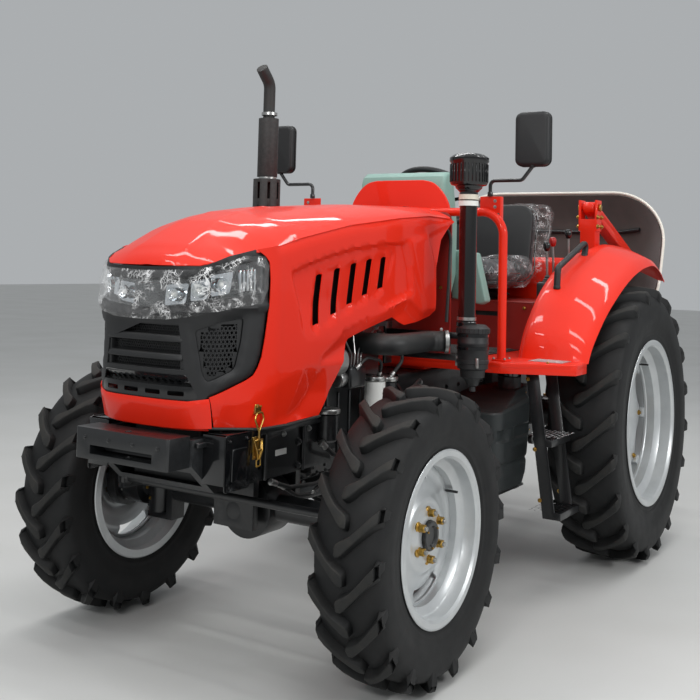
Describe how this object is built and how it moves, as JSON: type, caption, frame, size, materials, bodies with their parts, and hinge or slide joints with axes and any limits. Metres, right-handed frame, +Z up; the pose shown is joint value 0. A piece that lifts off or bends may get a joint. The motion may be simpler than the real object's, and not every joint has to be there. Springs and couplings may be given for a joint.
{
  "type": "farm tractor",
  "caption": "Compact four-wheel-drive farm tractor with lugged tyres, tilting hood, open platform, folding roll frame with canopy and rear three-point linkage.",
  "frame": {"origin": "on the ground under the middle of the whole machine, with the roll frame folded back", "axes": "+X forward, +Y to the tractor's left, +Z up; -X is the power take-off's direction"},
  "size_m": [3.7144, 1.735, 2.1676],
  "materials": {
    "hood_red": "gloss orange-red paint",
    "dark_red": "satin dark red paint",
    "frame_black": "satin black paint",
    "cast_dark": "painted casting, dark grey",
    "wheel_silver": "silver wheel paint",
    "tread_rubber": "dark grey rubber",
    "black_plastic": "grained black plastic",
    "tank_plastic": "moulded dark grey-green plastic",
    "sage_plastic": "moulded sage grey-green plastic",
    "seat_cover": "dark grey seat cover",
    "canopy_shell": "off-white moulded shell",
    "lamp_lens": "clear lamp lens over chrome reflectors",
    "lamp_red": "red lamp lens",
    "bright_steel": "machined steel",
    "exhaust_black": "matt black heat-proof paint",
    "soft_rubber": "moulded rubber hose",
    "core_aluminium": "finned core"
  },
  "bodies": {
    "chassis": {"front_frame": "frame_black", "weight_bracket": "frame_black", "front_axle": "frame_black", "engine": "cast_dark", "radiator": "core_aluminium", "battery": "black_plastic", "gearbox": "cast_dark", "rear_axle": "cast_dark", "platform": "hood_red", "fender_left": "hood_red", "fender_right": "hood_red", "grab_handles": "frame_black", "front_arch": "hood_red", "mirror_arms": "frame_black", "mirror_heads": "black_plastic", "bulkhead": "dark_red", "dash_cowl": "hood_red", "dashboard": "sage_plastic", "steering_wheel": "black_plastic", "controls": "black_plastic", "seat_base": "black_plastic", "seat_cushion": "seat_cover", "seat_back": "seat_cover", "side_consoles": "sage_plastic", "fuel_tank": "tank_plastic", "tool_box": "frame_black", "steps": "frame_black", "air_cleaner": "black_plastic", "precleaner": "black_plastic", "intake_duct": "soft_rubber", "exhaust": "exhaust_black", "rops_frame": "hood_red", "tail_lamps": "lamp_red", "rear_couplings": "frame_black", "pto_shaft": "bright_steel"},
    "hood": {"hood_top": "hood_red", "hood_sides": "hood_red", "nose_band": "hood_red", "grille": "black_plastic", "headlamps": "lamp_lens"},
    "knuckle_left": {"knuckle_left": "frame_black"},
    "knuckle_right": {"knuckle_right": "frame_black"},
    "wheel_front_left": {"tyre_front_left": "tread_rubber", "rim_front_left": "wheel_silver"},
    "wheel_front_right": {"tyre_front_right": "tread_rubber", "rim_front_right": "wheel_silver"},
    "wheel_rear_left": {"tyre_rear_left": "tread_rubber", "rim_rear_left": "wheel_silver"},
    "wheel_rear_right": {"tyre_rear_right": "tread_rubber", "rim_rear_right": "wheel_silver"},
    "tie_rod": {"tie_rod": "bright_steel"},
    "lift_arms": {"lift_arms": "frame_black"},
    "lower_links": {"lower_links": "frame_black"},
    "lift_rods": {"lift_rods": "frame_black"},
    "rops_hoop": {"rops_hoop": "hood_red", "canopy": "canopy_shell"}
  },
  "joints": [
    {"name": "steer_left", "type": "hinge", "parent": "chassis", "child": "knuckle_left", "pos_m": [1.14725, 0.455, 0.47183], "axis": [0, 0, 1], "range_deg": [-35, 35]},
    {"name": "steer_right", "type": "hinge", "parent": "chassis", "child": "knuckle_right", "pos_m": [1.14725, -0.455, 0.47183], "axis": [0, 0, 1], "range_deg": [-35.5, 35.5]},
    {"name": "tie_rod_pivot", "type": "hinge", "parent": "knuckle_left", "child": "tie_rod", "pos_m": [1.35225, 0.455, 0.53183], "axis": [0, 0, 1], "range_deg": [-35.5, 35.5]},
    {"name": "spin_front_left", "type": "hinge", "parent": "knuckle_left", "child": "wheel_front_left", "pos_m": [1.14725, 0.633, 0.47183], "axis": [0, 1, 0], "continuous": true},
    {"name": "spin_front_right", "type": "hinge", "parent": "knuckle_right", "child": "wheel_front_right", "pos_m": [1.14725, -0.633, 0.47183], "axis": [0, 1, 0], "continuous": true},
    {"name": "spin_rear_left", "type": "hinge", "parent": "chassis", "child": "wheel_rear_left", "pos_m": [-0.76975, 0.71, 0.62911], "axis": [0, 1, 0], "continuous": true},
    {"name": "spin_rear_right", "type": "hinge", "parent": "chassis", "child": "wheel_rear_right", "pos_m": [-0.76975, -0.71, 0.62911], "axis": [0, 1, 0], "continuous": true},
    {"name": "hood_lid", "type": "hinge", "parent": "chassis", "child": "hood", "pos_m": [0.22225, 0, 1.572], "axis": [0, -1, 0], "range_deg": [0, 55]},
    {"name": "rops_fold", "type": "hinge", "parent": "chassis", "child": "rops_hoop", "pos_m": [-0.94275, 0, 1.64], "axis": [0, 1, 0], "range_deg": [0, 111]},
    {"name": "hitch_lift", "type": "hinge", "parent": "chassis", "child": "lower_links", "pos_m": [-0.86275, 0, 0.47], "axis": [0, 1, 0], "range_deg": [0, 34]},
    {"name": "lift_arm_turn", "type": "hinge", "parent": "chassis", "child": "lift_arms", "pos_m": [-0.86275, 0, 0.945], "axis": [0, 1, 0], "range_deg": [0, 34.5]},
    {"name": "lift_rod_turn", "type": "hinge", "parent": "lift_arms", "child": "lift_rods", "pos_m": [-1.14641, 0, 0.88471], "axis": [0, 1, 0], "range_deg": [-34.5, 0]}
  ],
  "couplings": [
    {"joint": "steer_right", "follows": "steer_left", "ratio": 1},
    {"joint": "tie_rod_pivot", "follows": "steer_left", "ratio": -1},
    {"joint": "lift_arm_turn", "follows": "hitch_lift", "ratio": 1},
    {"joint": "lift_rod_turn", "follows": "hitch_lift", "ratio": -1}
  ]
}
